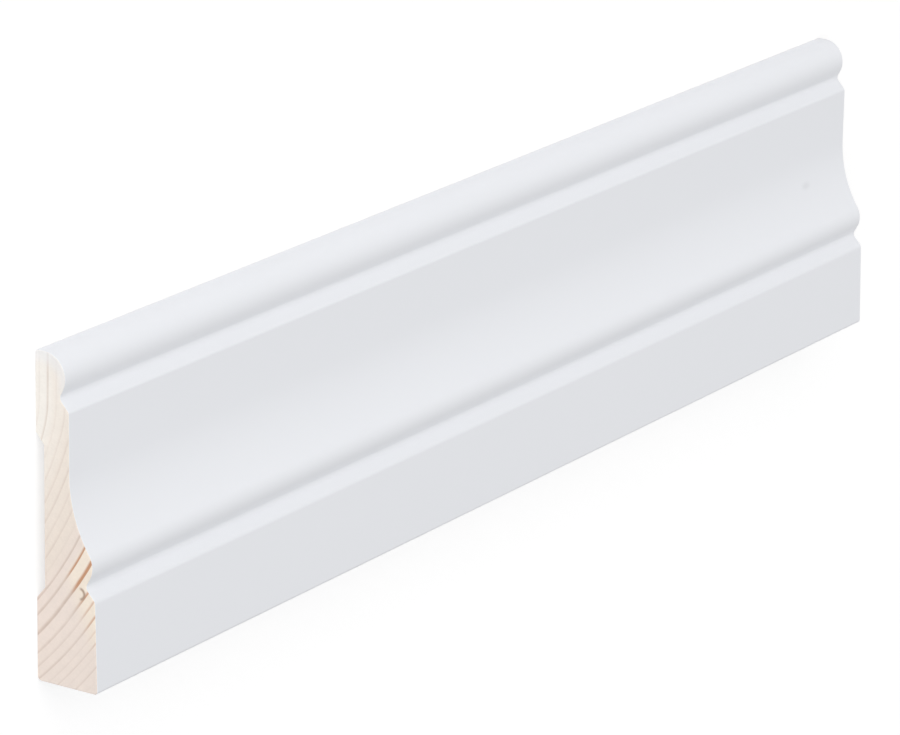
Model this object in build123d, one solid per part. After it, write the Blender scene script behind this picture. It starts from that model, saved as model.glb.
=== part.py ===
"""Painted pine casing moulding: a straight length of one milled section, lying on its back.

The length runs along X, Y goes from the thick edge to the thin edge and Z from the back to the face.
Sizes are in millimetres and angles in degrees.
"""

import os
from math import acos, cos, degrees, radians, sin, tan

from build123d import *

# The stock
length = 250.0
width = 56.0
thickness = 12.0

# Band along the thick edge, which falls a little towards the lower quirk
band_width = 15.7
band_fall = 0.4

# Both quirks are run with the same V cutter: a steep side below a shoulder, a shallow side up to a round
quirk_depth = 1.9
quirk_fall_angle = 42.0
quirk_rise_angle = 29.0
quirk_round = 1.0

# Ogee: a round crest that turns into a long cove, and the flat web that the cove runs out to
crest_rise = 1.4
crest_radius = 3.8
cove_radius = 23.0
web_height = 6.6

# Round nose along the thin edge
nose_rise = 1.2
nose_radius = 4.1

# Shallow relief down the middle of the back, between two flat feet
thick_foot_width = 14.3
thin_foot_width = 13.8
relief_depth = 1.6
relief_side_angle = 40.0

# Eased arrises
band_shoulder_round = 1.2
web_shoulder_round = 0.8
thick_edge_face_round = 0.6
thick_edge_back_round = 0.8
thin_edge_back_round = 0.5

thick_edge = -width / 2
thin_edge = width / 2
fall = radians(quirk_fall_angle)
rise = radians(quirk_rise_angle)

# The crest and the nose each stand above the floor of the quirk beside them
lower_floor = thickness - band_fall - quirk_depth
upper_floor = web_height - quirk_depth
crest_height = lower_floor + crest_rise
nose_height = upper_floor + nose_rise

# The crest and the cove share one tangent where the ogee turns, and together drop from crest to web
ogee_angle = degrees(acos(1 - (crest_height - web_height) / (crest_radius + cove_radius)))

with BuildPart() as casing:
    with BuildSketch(Plane.YZ) as section:
        with BuildLine():
            # Thick side, worked inwards: band, lower quirk, crest and cove
            band = Line((thick_edge, thickness), (thick_edge + band_width, thickness - band_fall))
            lower_fall = PolarLine(band @ 1, quirk_depth / sin(fall), -quirk_fall_angle)
            crest_start = crest_height - crest_radius * (1 - cos(rise))
            lower_rise = PolarLine(lower_fall @ 1, (crest_start - lower_floor) / sin(rise), quirk_rise_angle)
            crest = JernArc(lower_rise @ 1, lower_rise % 1, crest_radius, -(quirk_rise_angle + ogee_angle))
            cove = JernArc(crest @ 1, crest % 1, cove_radius, ogee_angle)

            # Thin side, worked inwards: nose and upper quirk
            nose = JernArc((thin_edge, nose_height - nose_radius), (0, 1), nose_radius, 90 + quirk_rise_angle)
            upper_rise = PolarLine(nose @ 1, ((nose @ 1).Y - upper_floor) / sin(rise), 180 + quirk_rise_angle)
            upper_fall = PolarLine(upper_rise @ 1, quirk_depth / sin(fall), 180 - quirk_fall_angle)

            # Flat web between the two
            Line(cove @ 1, upper_fall @ 1)

            # Both edges and the relieved back
            relief_side = relief_depth / tan(radians(relief_side_angle))
            thin_foot = thin_edge - thin_foot_width
            thick_foot = thick_edge + thick_foot_width
            Polyline(
                nose @ 0,
                (thin_edge, 0),
                (thin_foot, 0),
                (thin_foot - relief_side, relief_depth),
                (thick_foot + relief_side, relief_depth),
                (thick_foot, 0),
                (thick_edge, 0),
                band @ 0,
            )
        make_face()
        for corner, radius in (
            (lower_fall @ 1, quirk_round),
            (upper_rise @ 1, quirk_round),
            (band @ 1, band_shoulder_round),
            (upper_fall @ 1, web_shoulder_round),
            (band @ 0, thick_edge_face_round),
            ((thick_edge, 0), thick_edge_back_round),
            ((thin_edge, 0), thin_edge_back_round),
        ):
            fillet(section.vertices().sort_by_distance(corner)[0], radius)
    extrude(amount=length / 2, both=True)

os.makedirs("parts", exist_ok=True)
export_step(casing.part, "parts/moulding.step")
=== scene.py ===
"""Looks of a painted pine casing moulding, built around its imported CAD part.

The stock lies on its back on a pale floor. X runs along its length, Y goes from the thick edge to the
thin edge and Z from the back out of the moulded face. Sizes of the stock and of the timber are in
millimetres, and what is handed to Blender is in metres.
"""

from __future__ import annotations

import logging
import math
from dataclasses import dataclass, field
from enum import Enum
from typing import Any, Dict, List, Optional, Tuple, Union

import bpy
from mathutils import Matrix, Vector

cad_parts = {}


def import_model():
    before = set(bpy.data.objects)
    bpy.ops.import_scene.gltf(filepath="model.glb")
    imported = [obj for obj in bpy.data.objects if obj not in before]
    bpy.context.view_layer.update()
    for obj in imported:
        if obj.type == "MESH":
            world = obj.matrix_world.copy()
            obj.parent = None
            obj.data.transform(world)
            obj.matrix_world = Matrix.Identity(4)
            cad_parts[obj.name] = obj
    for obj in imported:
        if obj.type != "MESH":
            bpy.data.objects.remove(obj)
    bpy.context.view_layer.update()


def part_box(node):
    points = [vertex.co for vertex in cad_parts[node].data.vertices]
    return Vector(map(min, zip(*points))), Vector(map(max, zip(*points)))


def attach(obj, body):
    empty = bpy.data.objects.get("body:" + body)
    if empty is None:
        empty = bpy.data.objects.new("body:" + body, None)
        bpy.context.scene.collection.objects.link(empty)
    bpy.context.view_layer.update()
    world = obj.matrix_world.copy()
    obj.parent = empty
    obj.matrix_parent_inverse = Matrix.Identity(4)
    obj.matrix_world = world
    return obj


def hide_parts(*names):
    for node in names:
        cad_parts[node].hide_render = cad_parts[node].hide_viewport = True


MM = 0.001
NODE = "moulding"
BODY = "root"
JOIN_GAP = 0.002
QUAD_SIDES = 4
BLACK = (0.0, 0.0, 0.0, 1.0)
WHITE = (1.0, 1.0, 1.0, 1.0)

Colour = Tuple[float, float, float]
Point = Tuple[float, float, float]
Pair = Tuple[float, float]
log = logging.getLogger("casing")


class Coat(Enum):
    """What a face of the stock shows. The value is its material slot."""

    PAINT = 0
    PINE = 1


class Sock:
    """A shader socket that can be used in Python arithmetic."""

    def __init__(self, graph: Graph, socket: bpy.types.NodeSocket) -> None:
        """Keeps the socket and the graph that it belongs to."""
        self.graph = graph
        self.socket = socket

    def __add__(self, other: Value) -> Sock:
        """Adds a value."""
        return self.graph.math("ADD", self, other)

    def __radd__(self, other: Value) -> Sock:
        """Adds this socket to a value."""
        return self.graph.math("ADD", other, self)

    def __sub__(self, other: Value) -> Sock:
        """Takes a value away."""
        return self.graph.math("SUBTRACT", self, other)

    def __rsub__(self, other: Value) -> Sock:
        """Takes this socket from a value."""
        return self.graph.math("SUBTRACT", other, self)

    def __mul__(self, other: Value) -> Sock:
        """Multiplies by a value."""
        return self.graph.math("MULTIPLY", self, other)

    def __truediv__(self, other: Value) -> Sock:
        """Divides by a value."""
        return self.graph.math("DIVIDE", self, other)

    def __pow__(self, other: Value) -> Sock:
        """Raises to a power."""
        return self.graph.math("POWER", self, other)

    def __abs__(self) -> Sock:
        """Drops the sign."""
        return self.graph.math("ABSOLUTE", self)


Value = Union[Sock, float]


class Graph:
    """The node tree of one finish."""

    def __init__(self, tree: bpy.types.NodeTree) -> None:
        """Empties the tree.

        Args:
            tree: The node tree of a material or of the world.
        """
        self.tree = tree
        self.tree.nodes.clear()

    def node(
        self,
        kind: str,
        settings: Optional[Dict[str, Any]] = None,
        inputs: Optional[Dict[Union[int, str], Any]] = None,
        output: Union[int, str] = 0,
    ) -> Optional[Sock]:
        """Adds a node, sets it up and then fills or links its sockets.

        Args:
            kind: The node's type.
            settings: Its properties.
            inputs: Values or sockets for its inputs, by name or number.
            output: The output to hand back, by name or number.

        Returns:
            The chosen output of the new node, or None where it has no output.
        """
        node = self.tree.nodes.new(kind)
        for name, value in (settings or {}).items():
            setattr(node, name, value)
        for key, value in (inputs or {}).items():
            if isinstance(value, Sock):
                self.tree.links.new(value.socket, node.inputs[key])
            else:
                node.inputs[key].default_value = value
        return Sock(self, node.outputs[output]) if len(node.outputs) else None

    def math(self, operation: str, first: Value, second: Value = 0.0) -> Sock:
        """Adds a Math node.

        Args:
            operation: What the node does.
            first: Its first value.
            second: Its second value, where it takes one.

        Returns:
            The result.
        """
        return self.node("ShaderNodeMath", {"operation": operation}, {0: first, 1: second})

    def step(self, value: Value, low: float, high: float) -> Sock:
        """Rises smoothly from 0 to 1.

        Args:
            value: The value that is looked at.
            low: Where the rise starts.
            high: Where it ends.

        Returns:
            The rise at that value.
        """
        return self.node(
            "ShaderNodeMapRange",
            {"interpolation_type": "SMOOTHSTEP"},
            {"Value": value, "From Min": low, "From Max": high},
        )

    def plateau(self, value: Value, rise: Pair, fall: Pair) -> Sock:
        """Rises smoothly from 0 to 1 and falls back to 0.

        Args:
            value: The value that is looked at.
            rise: Where the rise starts and ends.
            fall: Where the fall starts and ends.

        Returns:
            The height at that value.
        """
        return self.step(value, *rise) - self.step(value, *fall)

    def distance(self, first: Sock, second: Sock) -> Sock:
        """Gives the distance from a centre.

        Args:
            first: The offset from it one way.
            second: The offset square to that.

        Returns:
            The distance.
        """
        return (first * first + second * second) ** 0.5

    def place_mm(self) -> Sock:
        """Gives the place on the stock.

        Returns:
            The place, in millimetres.
        """
        coordinates = self.node("ShaderNodeTexCoord", output="Object")
        return self.stretch(coordinates, (1 / MM, 1 / MM, 1 / MM))

    def stretch(self, vector: Sock, factors: Point) -> Sock:
        """Multiplies a vector by three factors.

        Args:
            vector: The vector.
            factors: One factor for each axis.

        Returns:
            The stretched vector.
        """
        return self.node("ShaderNodeVectorMath", {"operation": "MULTIPLY"}, {0: vector, 1: factors})

    def axes(self, vector: Sock) -> Tuple[Sock, Sock, Sock]:
        """Splits a vector into its three values.

        Args:
            vector: The vector.

        Returns:
            Its X, Y and Z.
        """
        split = self.node("ShaderNodeSeparateXYZ", inputs={0: vector}).socket.node
        return tuple(Sock(self, output) for output in split.outputs)

    def noise(self, vector: Sock, factors: Point, detail: float = 1.0) -> Sock:
        """Gives noise around 0.

        Args:
            vector: The place, in millimetres.
            factors: Waves in each millimetre along each axis.
            detail: How many finer layers are added.

        Returns:
            The noise, from -0.5 to 0.5.
        """
        place = self.stretch(vector, factors)
        inputs = {"Vector": place, "Scale": 1.0, "Detail": detail}
        return self.node("ShaderNodeTexNoise", inputs=inputs) - 0.5

    def blend(self, factor: Value, first: Union[Sock, Colour], second: Union[Sock, Colour]) -> Sock:
        """Blends two colours.

        Args:
            factor: Share of the second colour.
            first: The first colour.
            second: The second colour.

        Returns:
            The blended colour.
        """
        colours = [c if isinstance(c, Sock) else (*c, 1.0) for c in (first, second)]
        return self.node(
            "ShaderNodeMix", {"data_type": "RGBA"}, {0: factor, 6: colours[0], 7: colours[1]}, output=2
        )

    def shade(self, colour: Union[Sock, Colour], level: Value) -> Sock:
        """Makes a colour lighter or darker.

        Args:
            colour: The colour.
            level: What it is multiplied by.

        Returns:
            The changed colour.
        """
        return self.node("ShaderNodeVectorMath", {"operation": "SCALE"}, {0: colour, "Scale": level})

    def finish(self, shader: Sock, kind: str = "ShaderNodeOutputMaterial") -> None:
        """Links a shader to the tree's output.

        Args:
            shader: The shader.
            kind: The type of the output node.
        """
        self.node(kind, inputs={"Surface": shader})


def new_material(name: str) -> Tuple[bpy.types.Material, Graph]:
    """Makes an empty material.

    Args:
        name: Its name.

    Returns:
        The material and its graph.
    """
    material = bpy.data.materials.new(name)
    material.use_nodes = True
    return material, Graph(material.node_tree)


@dataclass(frozen=True)
class SatinPaint:
    """White satin paint, sprayed on in the factory."""

    colour: Colour = (0.835, 0.848, 0.880)
    roughness: float = 0.46
    roughness_spread: float = 0.08
    peel_waves: float = 0.9
    peel_depth: float = 0.004
    fibre_waves: Point = (0.012, 1.1, 1.1)
    fibre_depth: float = 0.006
    drift_waves: Point = (0.012, 0.05, 0.05)
    tint_spread: float = 0.018
    # A small spot near the far end where the paint is a little darker.
    mark_place: Pair = (109.6, 2.65)
    mark_size: Pair = (2.3, 1.15)
    mark_tint: float = 0.085

    def material(self) -> bpy.types.Material:
        """Makes the paint.

        Returns:
            The material.
        """
        material, graph = new_material("satin_white_paint")
        place = graph.place_mm()
        peel = graph.noise(place, (self.peel_waves,) * 3)
        fibre = graph.noise(place, self.fibre_waves, detail=2.0)
        drift = graph.noise(place, self.drift_waves)
        # A small spot near the far end where the paint is a little darker.
        mark = self._mark(graph, place)
        colour = graph.shade(self.colour, 1.0 + drift * self.tint_spread - mark * self.mark_tint)
        height = peel * self.peel_depth + fibre * self.fibre_depth
        bump = graph.node("ShaderNodeBump", inputs={"Height": height, "Distance": MM})
        shader = graph.node(
            "ShaderNodeBsdfPrincipled",
            inputs={
                "Base Color": colour,
                "Roughness": self.roughness + drift * self.roughness_spread,
                "Normal": bump,
            },
        )
        graph.finish(shader)
        return material

    def _mark(self, graph: Graph, place: Sock) -> Sock:
        """Gives a small spot near the far end where the paint is a little darker.

        Args:
            graph: The paint's graph.
            place: The place, in millimetres.

        Returns:
            The share of the spot, from 0 to 1.
        """
        x, y, _ = graph.axes(place)
        along = (x - self.mark_place[0]) / self.mark_size[0]
        across = (y - self.mark_place[1]) / self.mark_size[1]
        return 1.0 - graph.step(graph.distance(along, across), 0.0, 1.0)


@dataclass(frozen=True)
class BarePine:
    """Pine as the saw and the planer leave it, with its growth rings running through the stock.

    The pith lies behind the back, beyond the thin edge, and the rings run straight near that edge. They
    are evenly spaced, but for some wide years that narrow ones make up for. How dark a ring is comes from
    chance, and a few bold years are darker still. Radii are measured from the pith, and a tint is the
    radius from which the earlywood has that colour.
    """

    pith_y: float = 34.3
    pith_z: float = -57.2
    straight_y: float = 17.8
    straight_blend: float = 5.0
    first_ring: float = 72.0
    ring_spacing: float = 1.63
    wide_years: Pair = (76.0, 82.0)
    narrow_years: Pair = (84.5, 91.0)
    wide_gain: float = 1.35
    ring_darkness: Pair = (0.05, 0.55)
    ring_seed: float = 1704.0
    bold_start: Pair = (73.8, 74.6)
    bold_end: Pair = (79.0, 79.8)
    bold_darkness: float = 0.38
    tints: Tuple[Tuple[float, Colour], ...] = (
        (61.2, (0.890, 0.855, 0.800)),
        (64.0, (0.880, 0.818, 0.746)),
        (67.5, (0.845, 0.766, 0.687)),
        (72.5, (0.830, 0.742, 0.660)),
        (75.5, (0.832, 0.733, 0.664)),
    )
    latewood: Colour = (0.600, 0.480, 0.410)
    latewood_width: float = 0.62
    latewood_cut: float = 0.15
    patch_waves: Point = (0.01, 0.35, 0.35)
    patch_spread: float = 0.8
    resin_tint: Colour = (0.935, 0.835, 0.690)
    resin_latewood: Colour = (0.550, 0.285, 0.160)
    resin_darkness: float = 0.6
    resin_share: float = 0.6
    resin_start: Pair = (75.9, 76.9)
    resin_end: Pair = (87.0, 88.0)
    resin_slope: float = 0.45
    resin_heights: Pair = (0.4, 4.4)
    wobble: float = 0.30
    wobble_waves: Point = (0.01, 0.12, 0.12)
    taper: float = 0.010
    wander: float = 0.05
    wander_waves: Point = (0.012, 0.02, 0.02)
    fibre_tint: float = 0.09
    fibre_waves: Point = (0.02, 2.6, 2.6)
    fibre_depth: float = 0.03
    streak_tint: float = 0.07
    streak_waves: Point = (0.006, 0.5, 0.5)
    latewood_height: float = 0.02
    # A small dark brown curved mark on the near end, by the lower quirk, with a shallow dip.
    dark_comma_y: float = -11.4
    dark_comma_z: float = 8.6
    dark_comma_radius: float = 0.9
    dark_comma_width: float = 0.42
    dark_comma_foot: Pair = (-0.27, 0.45)
    dark_comma_depth: float = 0.05
    dark_comma_colour: Colour = (0.420, 0.305, 0.230)
    creep_colour: Colour = (0.840, 0.850, 0.870)
    creep_centre: Pair = (22.6, 1.0)
    creep_radii: Pair = (2.7, 4.9)
    creep_start: Pair = (20.0, 23.0)
    creep_share: float = 0.55
    near_depth: float = 3.0
    roughness: float = 0.8
    latewood_polish: float = 0.15

    def material(self, near_end: float) -> bpy.types.Material:
        """Makes the timber.

        Args:
            near_end: X of the sawn end that faces the camera, in millimetres.

        Returns:
            The material.
        """
        material, graph = new_material("bare_pine")
        place = graph.place_mm()
        x, y, z = graph.axes(place)
        from_end = x - near_end
        radius = self._radius(graph, place, from_end)
        resin = self._resin(graph, radius, y, z)
        late = self._latewood(graph, place, radius, resin)
        near = 1.0 - graph.step(from_end, 0.0, self.near_depth)
        # A small dark brown curved mark on the near end, by the lower quirk.
        dark_comma = self._dark_comma(graph, y, z) * near
        creep = self._creep(graph, y, z) * near
        fibre = graph.noise(place, self.fibre_waves, detail=3.0)
        streak = graph.noise(place, self.streak_waves, detail=2.0)

        colour = self.tints[0][1]
        for (inner, _), (outer, tint) in zip(self.tints, self.tints[1:]):
            colour = graph.blend(graph.step(radius, inner, outer), colour, tint)
        colour = graph.blend(resin * self.resin_share, colour, self.resin_tint)
        dark = graph.blend(resin, self.latewood, self.resin_latewood)
        colour = graph.blend(late, colour, dark)
        colour = graph.blend(dark_comma, colour, self.dark_comma_colour)
        colour = graph.shade(colour, 1.0 + fibre * self.fibre_tint + streak * self.streak_tint)
        colour = graph.blend(creep * self.creep_share, colour, self.creep_colour)

        height = late * self.latewood_height + fibre * self.fibre_depth - dark_comma * self.dark_comma_depth
        bump = graph.node("ShaderNodeBump", inputs={"Height": height, "Distance": MM})
        roughness = self.roughness - late * self.latewood_polish
        shader = graph.node(
            "ShaderNodeBsdfPrincipled",
            inputs={"Base Color": colour, "Roughness": roughness, "Normal": bump},
        )
        graph.finish(shader)
        return material

    def _radius(self, graph: Graph, place: Sock, from_end: Sock) -> Sock:
        """Gives the distance from the pith, which leans and wanders a little along the stock.

        Args:
            graph: The timber's graph.
            place: The place, in millimetres.
            from_end: Distance from the near end, in millimetres.

        Returns:
            The radius, in millimetres.
        """
        _, y, z = graph.axes(place)
        bent = {0: y, 1: self.straight_y, 2: self.straight_blend}
        across = graph.node("ShaderNodeMath", {"operation": "SMOOTH_MIN"}, bent) - self.pith_y
        up = z - self.pith_z
        wobble = graph.noise(place, self.wobble_waves) * self.wobble
        lean = self.taper + graph.noise(place, self.wander_waves) * self.wander
        return graph.distance(across, up) + wobble + from_end * lean

    def _resin(self, graph: Graph, radius: Sock, y: Sock, z: Sock) -> Sock:
        """Gives the share of resin in the rings close under the face.

        Args:
            graph: The timber's graph.
            radius: Distance from the pith, in millimetres.
            y: Place across the stock, in millimetres.
            z: Place above the back, in millimetres.

        Returns:
            The share, from 0 to 1.
        """
        inside = graph.plateau(radius, self.resin_start, self.resin_end)
        return graph.step(z + y * self.resin_slope, *self.resin_heights) * inside

    def _latewood(self, graph: Graph, place: Sock, radius: Sock, resin: Sock) -> Sock:
        """Gives the latewood: it darkens slowly outwards in each ring and stops sharply.

        Args:
            graph: The timber's graph.
            place: The place, in millimetres.
            radius: Distance from the pith, in millimetres.
            resin: Share of resin, which makes the bands darker.

        Returns:
            The share of latewood, from 0 to 1.
        """
        wide = graph.plateau(radius, self.wide_years, self.narrow_years)
        years = (radius - self.first_ring - wide * self.wide_gain) / self.ring_spacing
        to_go = (1.0 - graph.math("FRACT", years)) * self.ring_spacing
        cut, width = self.latewood_cut, self.latewood_width
        band = graph.plateau(to_go, (0.0, cut), (cut, width))

        year = graph.math("FLOOR", years) + self.ring_seed
        chance = graph.node("ShaderNodeTexWhiteNoise", {"noise_dimensions": "1D"}, {"W": year})
        pale, dark = self.ring_darkness
        bold = graph.plateau(radius, self.bold_start, self.bold_end)
        darkness = pale + chance * (dark - pale) + bold * self.bold_darkness
        patch = graph.noise(place, self.patch_waves)
        share = band * darkness * (1.0 + patch * self.patch_spread) * (1.0 + resin * self.resin_darkness)
        return graph.math("MINIMUM", share, 1.0)

    def _creep(self, graph: Graph, y: Sock, z: Sock) -> Sock:
        """Gives the paint that crept over the arris of the nose onto the near end.

        Args:
            graph: The timber's graph.
            y: Place across the stock, in millimetres.
            z: Place above the back, in millimetres.

        Returns:
            The share of paint, from 0 to 1.
        """
        across, up = y - self.creep_centre[0], z - self.creep_centre[1]
        outside = graph.step(graph.distance(across, up), *self.creep_radii)
        return outside * graph.step(y, *self.creep_start)

    def _dark_comma(self, graph: Graph, y: Sock, z: Sock) -> Sock:
        """Gives the small dark brown curved mark on the near end, by the lower quirk, with a shallow dip.

        Args:
            graph: The timber's graph.
            y: Place across the stock, in millimetres.
            z: Place above the back, in millimetres.

        Returns:
            The share of the mark, from 0 to 1.
        """
        across, up = y - self.dark_comma_y, z - self.dark_comma_z
        off = abs(graph.distance(across, up) - self.dark_comma_radius)
        ring = 1.0 - graph.step(off, 0.0, self.dark_comma_width)
        return ring * graph.step(up, *self.dark_comma_foot)


def seen_rays(graph: Graph) -> Sock:
    """Tells the rays that show the surroundings from those that light the stock.

    Args:
        graph: The graph that asks.

    Returns:
        1 for camera, glossy and transmission rays, 0 for the rest.
    """
    rays = graph.node("ShaderNodeLightPath").socket.node.outputs
    shown = [Sock(graph, rays[n]) for n in ("Is Camera Ray", "Is Glossy Ray", "Is Transmission Ray")]
    return graph.math("MINIMUM", shown[0] + shown[1] + shown[2], 1.0)


@dataclass(frozen=True)
class PaleFloor:
    """White floor, which the camera sees as white wherever no shadow falls."""

    colour: Colour = (0.95, 0.95, 0.96)
    glow: float = 0.66
    shadow_share: float = 0.42

    def material(self) -> bpy.types.Material:
        """Makes the floor's finish.

        Returns:
            The material.
        """
        material, graph = new_material("pale_floor")
        lit = graph.node("ShaderNodeBsdfDiffuse", inputs={"Color": (*self.colour, 1.0)})
        shadow = graph.node("ShaderNodeBsdfDiffuse", inputs={"Color": (self.shadow_share,) * 3 + (1.0,)})
        glow = graph.node("ShaderNodeEmission", inputs={"Strength": self.glow})
        shown = graph.node("ShaderNodeAddShader", inputs={0: shadow, 1: glow})
        graph.finish(graph.node("ShaderNodeMixShader", inputs={0: seen_rays(graph), 1: lit, 2: shown}))
        return material


@dataclass(frozen=True)
class SoftDome:
    """Soft light from above, brightest beyond the thin edge and towards the near end."""

    way: Point = (-0.60, 0.42, 1.00)
    level: float = 1.54
    falloff: float = 1.09

    def world(self) -> bpy.types.World:
        """Makes the sky.

        Returns:
            The world, which looks fully white where it is seen.
        """
        world = bpy.data.worlds.new("soft_dome")
        world.use_nodes = True
        graph = Graph(world.node_tree)
        direction = graph.node("ShaderNodeTexCoord", output="Generated")
        way = Vector(self.way).normalized()
        facing = graph.node(
            "ShaderNodeVectorMath", {"operation": "DOT_PRODUCT"}, {0: direction, 1: way}, output="Value"
        )
        share = graph.math("MAXIMUM", facing, 0.0) ** self.falloff
        dark = graph.node("ShaderNodeBackground", inputs={"Color": BLACK})
        bright = graph.node("ShaderNodeBackground", inputs={"Strength": self.level, "Color": WHITE})
        white = graph.node("ShaderNodeBackground", inputs={"Color": WHITE})
        lit = graph.node("ShaderNodeMixShader", inputs={0: share, 1: dark, 2: bright})
        sky = graph.node("ShaderNodeMixShader", inputs={0: seen_rays(graph), 1: lit, 2: white})
        graph.finish(sky, "ShaderNodeOutputWorld")
        return world


@dataclass
class Bend:
    """The arc of an eased corner. A turn above 0 is clockwise, seen from the far end."""

    start: Vector
    end: Vector
    centre: Vector
    turn: float


@dataclass
class Corner:
    """A corner of the section before it is eased, and the radius that eases it."""

    y: float
    z: float
    radius: float = 0.0

    def bend(self, before: Corner, after: Corner, x: float) -> Bend:
        """Works out the arc that eases this corner.

        Args:
            before: The corner before this one.
            after: The corner after it.
            x: Where the section lies along the stock.

        Returns:
            The arc, with no turn where the corner stays sharp.
        """
        here = Vector((x, self.y, self.z))
        back = (Vector((x, before.y, before.z)) - here).normalized()
        ahead = (Vector((x, after.y, after.z)) - here).normalized()
        turn = math.pi - back.angle(ahead)
        setback = self.radius * math.tan(turn / 2)
        centre = here + (back + ahead).normalized() * self.radius / math.cos(turn / 2)
        turn = math.copysign(turn, back.cross(ahead).x) if self.radius else 0.0
        return Bend(here + back * setback, here + ahead * setback, centre, turn)


@dataclass
class Casing:
    """The moulded stock: one section, run the whole length."""

    length: float
    width: float
    thickness: float = 12.0
    band_width: float = 15.7
    band_fall: float = 0.4
    quirk_depth: float = 1.9
    quirk_fall_angle: float = 42.0
    quirk_rise_angle: float = 29.0
    quirk_round: float = 1.0
    crest_rise: float = 1.4
    crest_radius: float = 3.8
    cove_radius: float = 23.0
    web_height: float = 6.6
    nose_rise: float = 1.2
    nose_radius: float = 4.1
    thick_foot_width: float = 14.3
    thin_foot_width: float = 13.8
    relief_depth: float = 1.6
    relief_side_angle: float = 40.0
    band_shoulder_round: float = 1.2
    web_shoulder_round: float = 0.8
    thick_edge_face_round: float = 0.6
    thick_edge_back_round: float = 0.8
    thin_edge_back_round: float = 0.5
    end_ease: float = 0.15
    end_ease_steps: int = 3
    facet_angle: float = 2.0
    least_facets: int = 4
    smooth_angle: float = 5.0
    sawn_slope: float = 0.5
    back_slope: float = -0.6
    paint: SatinPaint = field(default_factory=SatinPaint)
    pine: BarePine = field(default_factory=BarePine)

    @property
    def near_end(self) -> float:
        """X of the end that faces the camera."""
        return -self.length / 2

    def corners(self) -> List[Corner]:
        """Works out the section from the thick edge's back arris, up the edge and over the face.

        Returns:
            The corners in order, each where its two straight sides would meet.
        """
        thick, thin = -self.width / 2, self.width / 2
        fall, rise = math.radians(self.quirk_fall_angle), math.radians(self.quirk_rise_angle)
        fall_run = self.quirk_depth / math.tan(fall)

        lower_floor = self.thickness - self.band_fall - self.quirk_depth
        lower_quirk = thick + self.band_width + fall_run
        drop = lower_floor + self.crest_rise - self.web_height
        ogee = math.acos(1 - drop / (self.crest_radius + self.cove_radius))
        crest_start = self.crest_rise - self.crest_radius * (1 - math.cos(rise))
        crest_half = self.crest_radius * math.tan((rise + ogee) / 2)
        cove_half = self.cove_radius * math.tan(ogee / 2)
        crest_y = lower_quirk + crest_start / math.tan(rise) + crest_half * math.cos(rise)
        crest_z = lower_floor + crest_start + crest_half * math.sin(rise)
        cove_y = crest_y + (crest_half + cove_half) * math.cos(ogee)

        upper_floor = self.web_height - self.quirk_depth
        nose_start = self.nose_rise - self.nose_radius * (1 - math.cos(rise))
        nose_y = thin - self.nose_radius * (1 + math.sin(rise))
        upper_quirk = nose_y - nose_start / math.tan(rise)
        nose_z = upper_floor + (thin - upper_quirk) * math.tan(rise)

        thin_foot, thick_foot = thin - self.thin_foot_width, thick + self.thick_foot_width
        side = self.relief_depth / math.tan(math.radians(self.relief_side_angle))
        return [
            Corner(thick, 0.0, self.thick_edge_back_round),
            Corner(thick, self.thickness, self.thick_edge_face_round),
            Corner(thick + self.band_width, self.thickness - self.band_fall, self.band_shoulder_round),
            Corner(lower_quirk, lower_floor, self.quirk_round),
            Corner(crest_y, crest_z, self.crest_radius),
            Corner(cove_y, self.web_height, self.cove_radius),
            Corner(upper_quirk - fall_run, self.web_height, self.web_shoulder_round),
            Corner(upper_quirk, upper_floor, self.quirk_round),
            Corner(thin, nose_z, self.nose_radius),
            Corner(thin, 0.0, self.thin_edge_back_round),
            Corner(thin_foot, 0.0),
            Corner(thin_foot - side, self.relief_depth),
            Corner(thick_foot + side, self.relief_depth),
            Corner(thick_foot, 0.0),
        ]

    def build(self) -> bpy.types.Object:
        """Traces the section, runs it along the stock and dresses it.

        Returns:
            The finished piece.
        """
        bpy.ops.object.select_all(action="DESELECT")
        bpy.ops.mesh.primitive_plane_add(size=self.width * MM)
        piece = bpy.context.object
        piece.name = piece.data.name = "casing"
        bpy.ops.object.mode_set(mode="EDIT")
        bpy.ops.mesh.merge(type="CENTER")
        self._trace()
        bpy.ops.mesh.select_all(action="SELECT")
        run = Vector((self.length - 2 * self.end_ease, 0, 0))
        bpy.ops.mesh.extrude_region_move(TRANSFORM_OT_translate={"value": run * MM})
        bpy.ops.mesh.select_all(action="SELECT")
        bpy.ops.mesh.normals_make_consistent(inside=False)
        self._ease_ends()
        bpy.ops.object.mode_set(mode="OBJECT")
        bpy.ops.object.shade_smooth_by_angle(angle=math.radians(self.smooth_angle))
        self._dress(piece)
        return piece

    def _trace(self) -> None:
        """Draws the section at the near end, corner by corner, and closes it into a face."""
        corners = self.corners()
        after = corners[1:] + corners[:1]
        x = self.near_end + self.end_ease
        bends = [c.bend(corners[i - 1], after[i], x) for i, c in enumerate(corners)]
        pen = bends[0].start
        bpy.ops.transform.translate(value=pen * MM)
        for bend in bends:
            self._draw(bend.start - pen)
            if bend.turn:
                facets = round(abs(math.degrees(bend.turn)) / self.facet_angle)
                bpy.ops.mesh.spin(
                    steps=max(self.least_facets, facets),
                    angle=bend.turn,
                    center=bend.centre * MM,
                    axis=(1, 0, 0),
                )
            pen = bend.end
        self._draw(bends[0].start - pen)
        bpy.ops.mesh.select_all(action="SELECT")
        bpy.ops.mesh.remove_doubles(threshold=JOIN_GAP * MM)
        bpy.ops.mesh.edge_face_add()

    @staticmethod
    def _draw(step: Vector) -> None:
        """Extrudes the last point of the outline, unless it is there already.

        Args:
            step: How far it goes, in millimetres.
        """
        if step.length > JOIN_GAP:
            bpy.ops.mesh.extrude_region_move(TRANSFORM_OT_translate={"value": step * MM})

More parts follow.
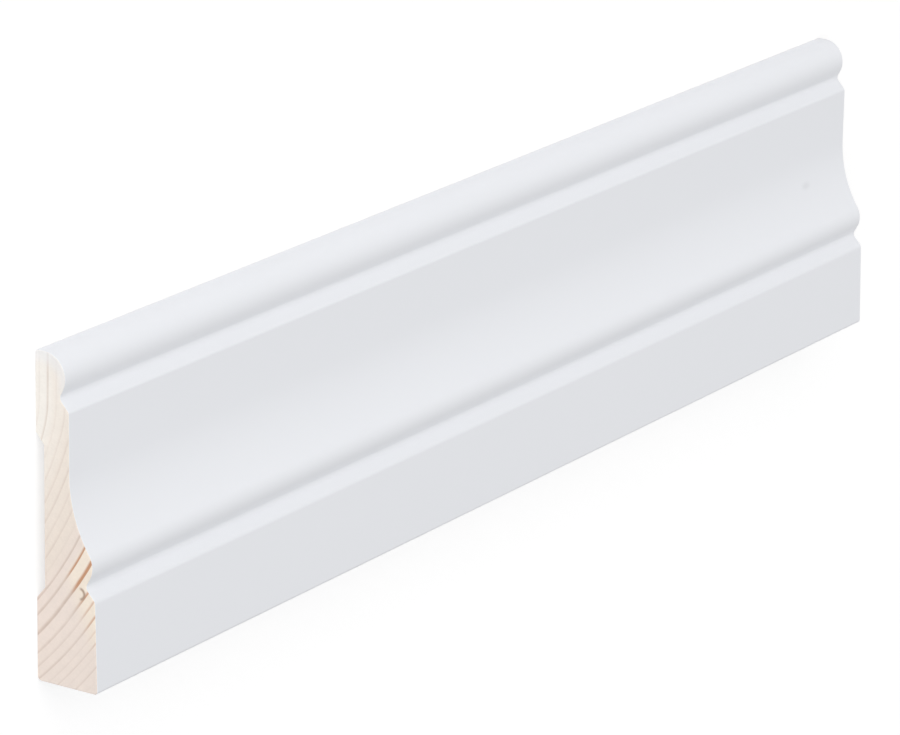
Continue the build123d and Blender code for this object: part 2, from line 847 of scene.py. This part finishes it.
    def _ease_ends(self) -> None:
        """Rounds the arrises of both sawn ends and so brings the stock to its full length.

        The ends are the only faces with more than four sides.
        """
        bpy.ops.mesh.select_mode(type="FACE")
        bpy.ops.mesh.select_all(action="DESELECT")
        bpy.ops.mesh.select_face_by_sides(number=QUAD_SIDES, type="GREATER")
        turns = [math.pi / 2 * i / self.end_ease_steps for i in range(self.end_ease_steps + 1)]
        for before, after in zip(turns, turns[1:]):
            bpy.ops.mesh.inset(
                thickness=self.end_ease * (math.cos(before) - math.cos(after)) * MM,
                depth=self.end_ease * (math.sin(after) - math.sin(before)) * MM,
            )

    def _dress(self, piece: bpy.types.Object) -> None:
        """Paints the face and both edges, and leaves the sawn ends and the back bare.

        Args:
            piece: The stock.
        """
        piece.data.materials.append(self.paint.material())
        piece.data.materials.append(self.pine.material(self.near_end))
        for polygon in piece.data.polygons:
            side = Vector((0, polygon.normal.y, polygon.normal.z)).normalized()
            bare = abs(polygon.normal.x) > self.sawn_slope or side.z < self.back_slope
            polygon.material_index = (Coat.PINE if bare else Coat.PAINT).value


@dataclass
class Studio:
    """Floor, light and camera around the stock. Places are in millimetres."""

    eye: Point = (-775.85, 287.40, 501.49)
    aim: Point = (-14.58, -2.32, 6.60)
    roll: float = 0.94
    lens: float = 217.18
    sensor: float = 36.0
    view_depth: float = 100000.0
    lamp_place: Point = (-400.0, 580.0, 240.0)
    lamp_side: float = 400.0
    lamp_level: float = 0.105
    floor_side: float = 12000.0
    floor: PaleFloor = field(default_factory=PaleFloor)
    dome: SoftDome = field(default_factory=SoftDome)

    def build(self) -> None:
        """Sets up everything that isn't the stock."""
        self._lay_floor()
        self._hang_lamp()
        self._place_camera()
        bpy.context.scene.world = self.dome.world()
        bpy.context.scene.view_settings.view_transform = "Standard"

    def _lay_floor(self) -> None:
        """Lays the floor that the stock rests on."""
        bpy.ops.object.select_all(action="DESELECT")
        bpy.ops.mesh.primitive_plane_add(size=self.floor_side * MM)
        floor = bpy.context.object
        floor.name = floor.data.name = "floor"
        floor.data.materials.append(self.floor.material())

    def _hang_lamp(self) -> None:
        """Hangs a soft lamp beyond the thin edge, with more power the farther it hangs."""
        place = Vector(self.lamp_place) * MM
        lamp = bpy.data.lights.new("soft_lamp", "AREA")
        lamp.shape = "SQUARE"
        lamp.size = self.lamp_side * MM
        lamp.energy = self.lamp_level * (math.pi * place.length) ** 2
        holder = bpy.data.objects.new("soft_lamp", lamp)
        holder.location = place
        holder.rotation_euler = place.to_track_quat("Z", "Y").to_euler()
        bpy.context.collection.objects.link(holder)

    def _place_camera(self) -> None:
        """Puts the camera where the thin edge is on top, as if the stock stood on the thick one."""
        eye, aim = Vector(self.eye) * MM, Vector(self.aim) * MM
        ahead = (aim - eye).normalized()
        right = ahead.cross(Vector((0, 1, 0))).normalized()
        right = Matrix.Rotation(math.radians(-self.roll), 3, ahead) @ right
        turn = Matrix((right, right.cross(ahead), -ahead)).transposed()
        data = bpy.data.cameras.new("camera")
        data.sensor_fit = "HORIZONTAL"
        data.sensor_width = self.sensor
        data.lens = self.lens
        data.clip_end = self.view_depth * MM
        camera = bpy.data.objects.new("camera", data)
        camera.matrix_world = Matrix.Translation(eye) @ turn.to_4x4()
        bpy.context.collection.objects.link(camera)
        bpy.context.scene.camera = camera


def main() -> None:
    """Loads the part, dresses it and sets it in the studio."""
    logging.basicConfig(level=logging.INFO, format="%(name)s: %(message)s")
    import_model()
    low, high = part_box(NODE)
    casing = Casing(length=(high.x - low.x) / MM, width=(high.y - low.y) / MM)
    piece = casing.build()
    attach(piece, BODY)
    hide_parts(NODE)
    log.info("casing: %d faces", len(piece.data.polygons))
    Studio().build()
    log.info("studio: floor, light and camera")


if __name__ == "__main__":
    main()
